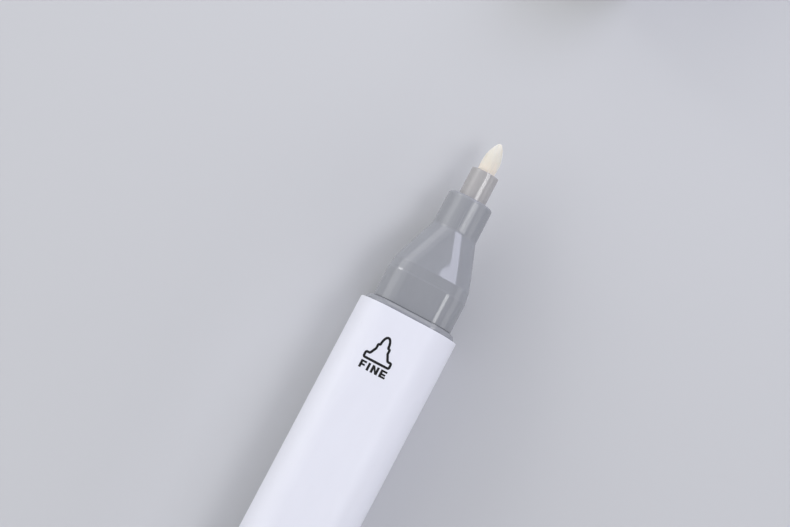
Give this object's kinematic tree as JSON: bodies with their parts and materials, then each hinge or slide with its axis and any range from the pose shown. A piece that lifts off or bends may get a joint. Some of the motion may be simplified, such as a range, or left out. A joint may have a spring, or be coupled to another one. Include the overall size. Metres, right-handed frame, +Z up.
{
  "type": "blender marker",
  "caption": "Double-ended blender marker with a rounded-square barrel, a fine bullet nib and a broad chisel nib, each under a pull-off cap with a sealing cup.",
  "frame": {"origin": "on the surface that the marker lies on, at the middle of the flat face of the barrel that rests on it", "axes": "+X along the marker's axis from the broad end to the fine nib, +Z up out of the barrel's printed face, +Y to the left when looking towards the fine nib"},
  "size_m": [0.2147, 0.0154, 0.0155],
  "materials": {
    "barrel_white": "smooth moulded white plastic with a satin gloss",
    "cap_white": "smooth moulded white plastic with a satin gloss",
    "neck_grey": "glossy cool grey moulded plastic",
    "sleeve_grey": "thin-walled grey moulded plastic, slightly warmer and less glossy",
    "plug_grey": "pale grey moulded plastic",
    "liner_milky": "milky soft plastic",
    "nib_felt": "cream bonded polyester fibre",
    "reservoir_felt": "white polyester fibre, soaked",
    "film_clear": "thin milky film"
  },
  "bodies": {
    "barrel": {"barrel": "barrel_white", "reservoir_fibre": "reservoir_felt", "reservoir_film": "film_clear", "fine_neck": "neck_grey", "fine_nib_sleeve": "sleeve_grey", "fine_nib": "nib_felt", "broad_neck": "neck_grey", "broad_nib": "nib_felt"},
    "fine_cap": {"fine_cap_shell": "cap_white", "fine_cap_liner": "liner_milky", "fine_cap_plug": "plug_grey"},
    "broad_cap": {"broad_cap_shell": "cap_white", "broad_cap_liner": "liner_milky", "broad_cap_plug": "plug_grey"}
  },
  "joints": [
    {"name": "fine_cap_pull", "type": "slide", "parent": "barrel", "child": "fine_cap", "axis": [1, 0, 0], "range_m": [-0.06265, 0]},
    {"name": "broad_cap_pull", "type": "slide", "parent": "barrel", "child": "broad_cap", "axis": [-1, 0, 0], "range_m": [0, 0.045]}
  ]
}
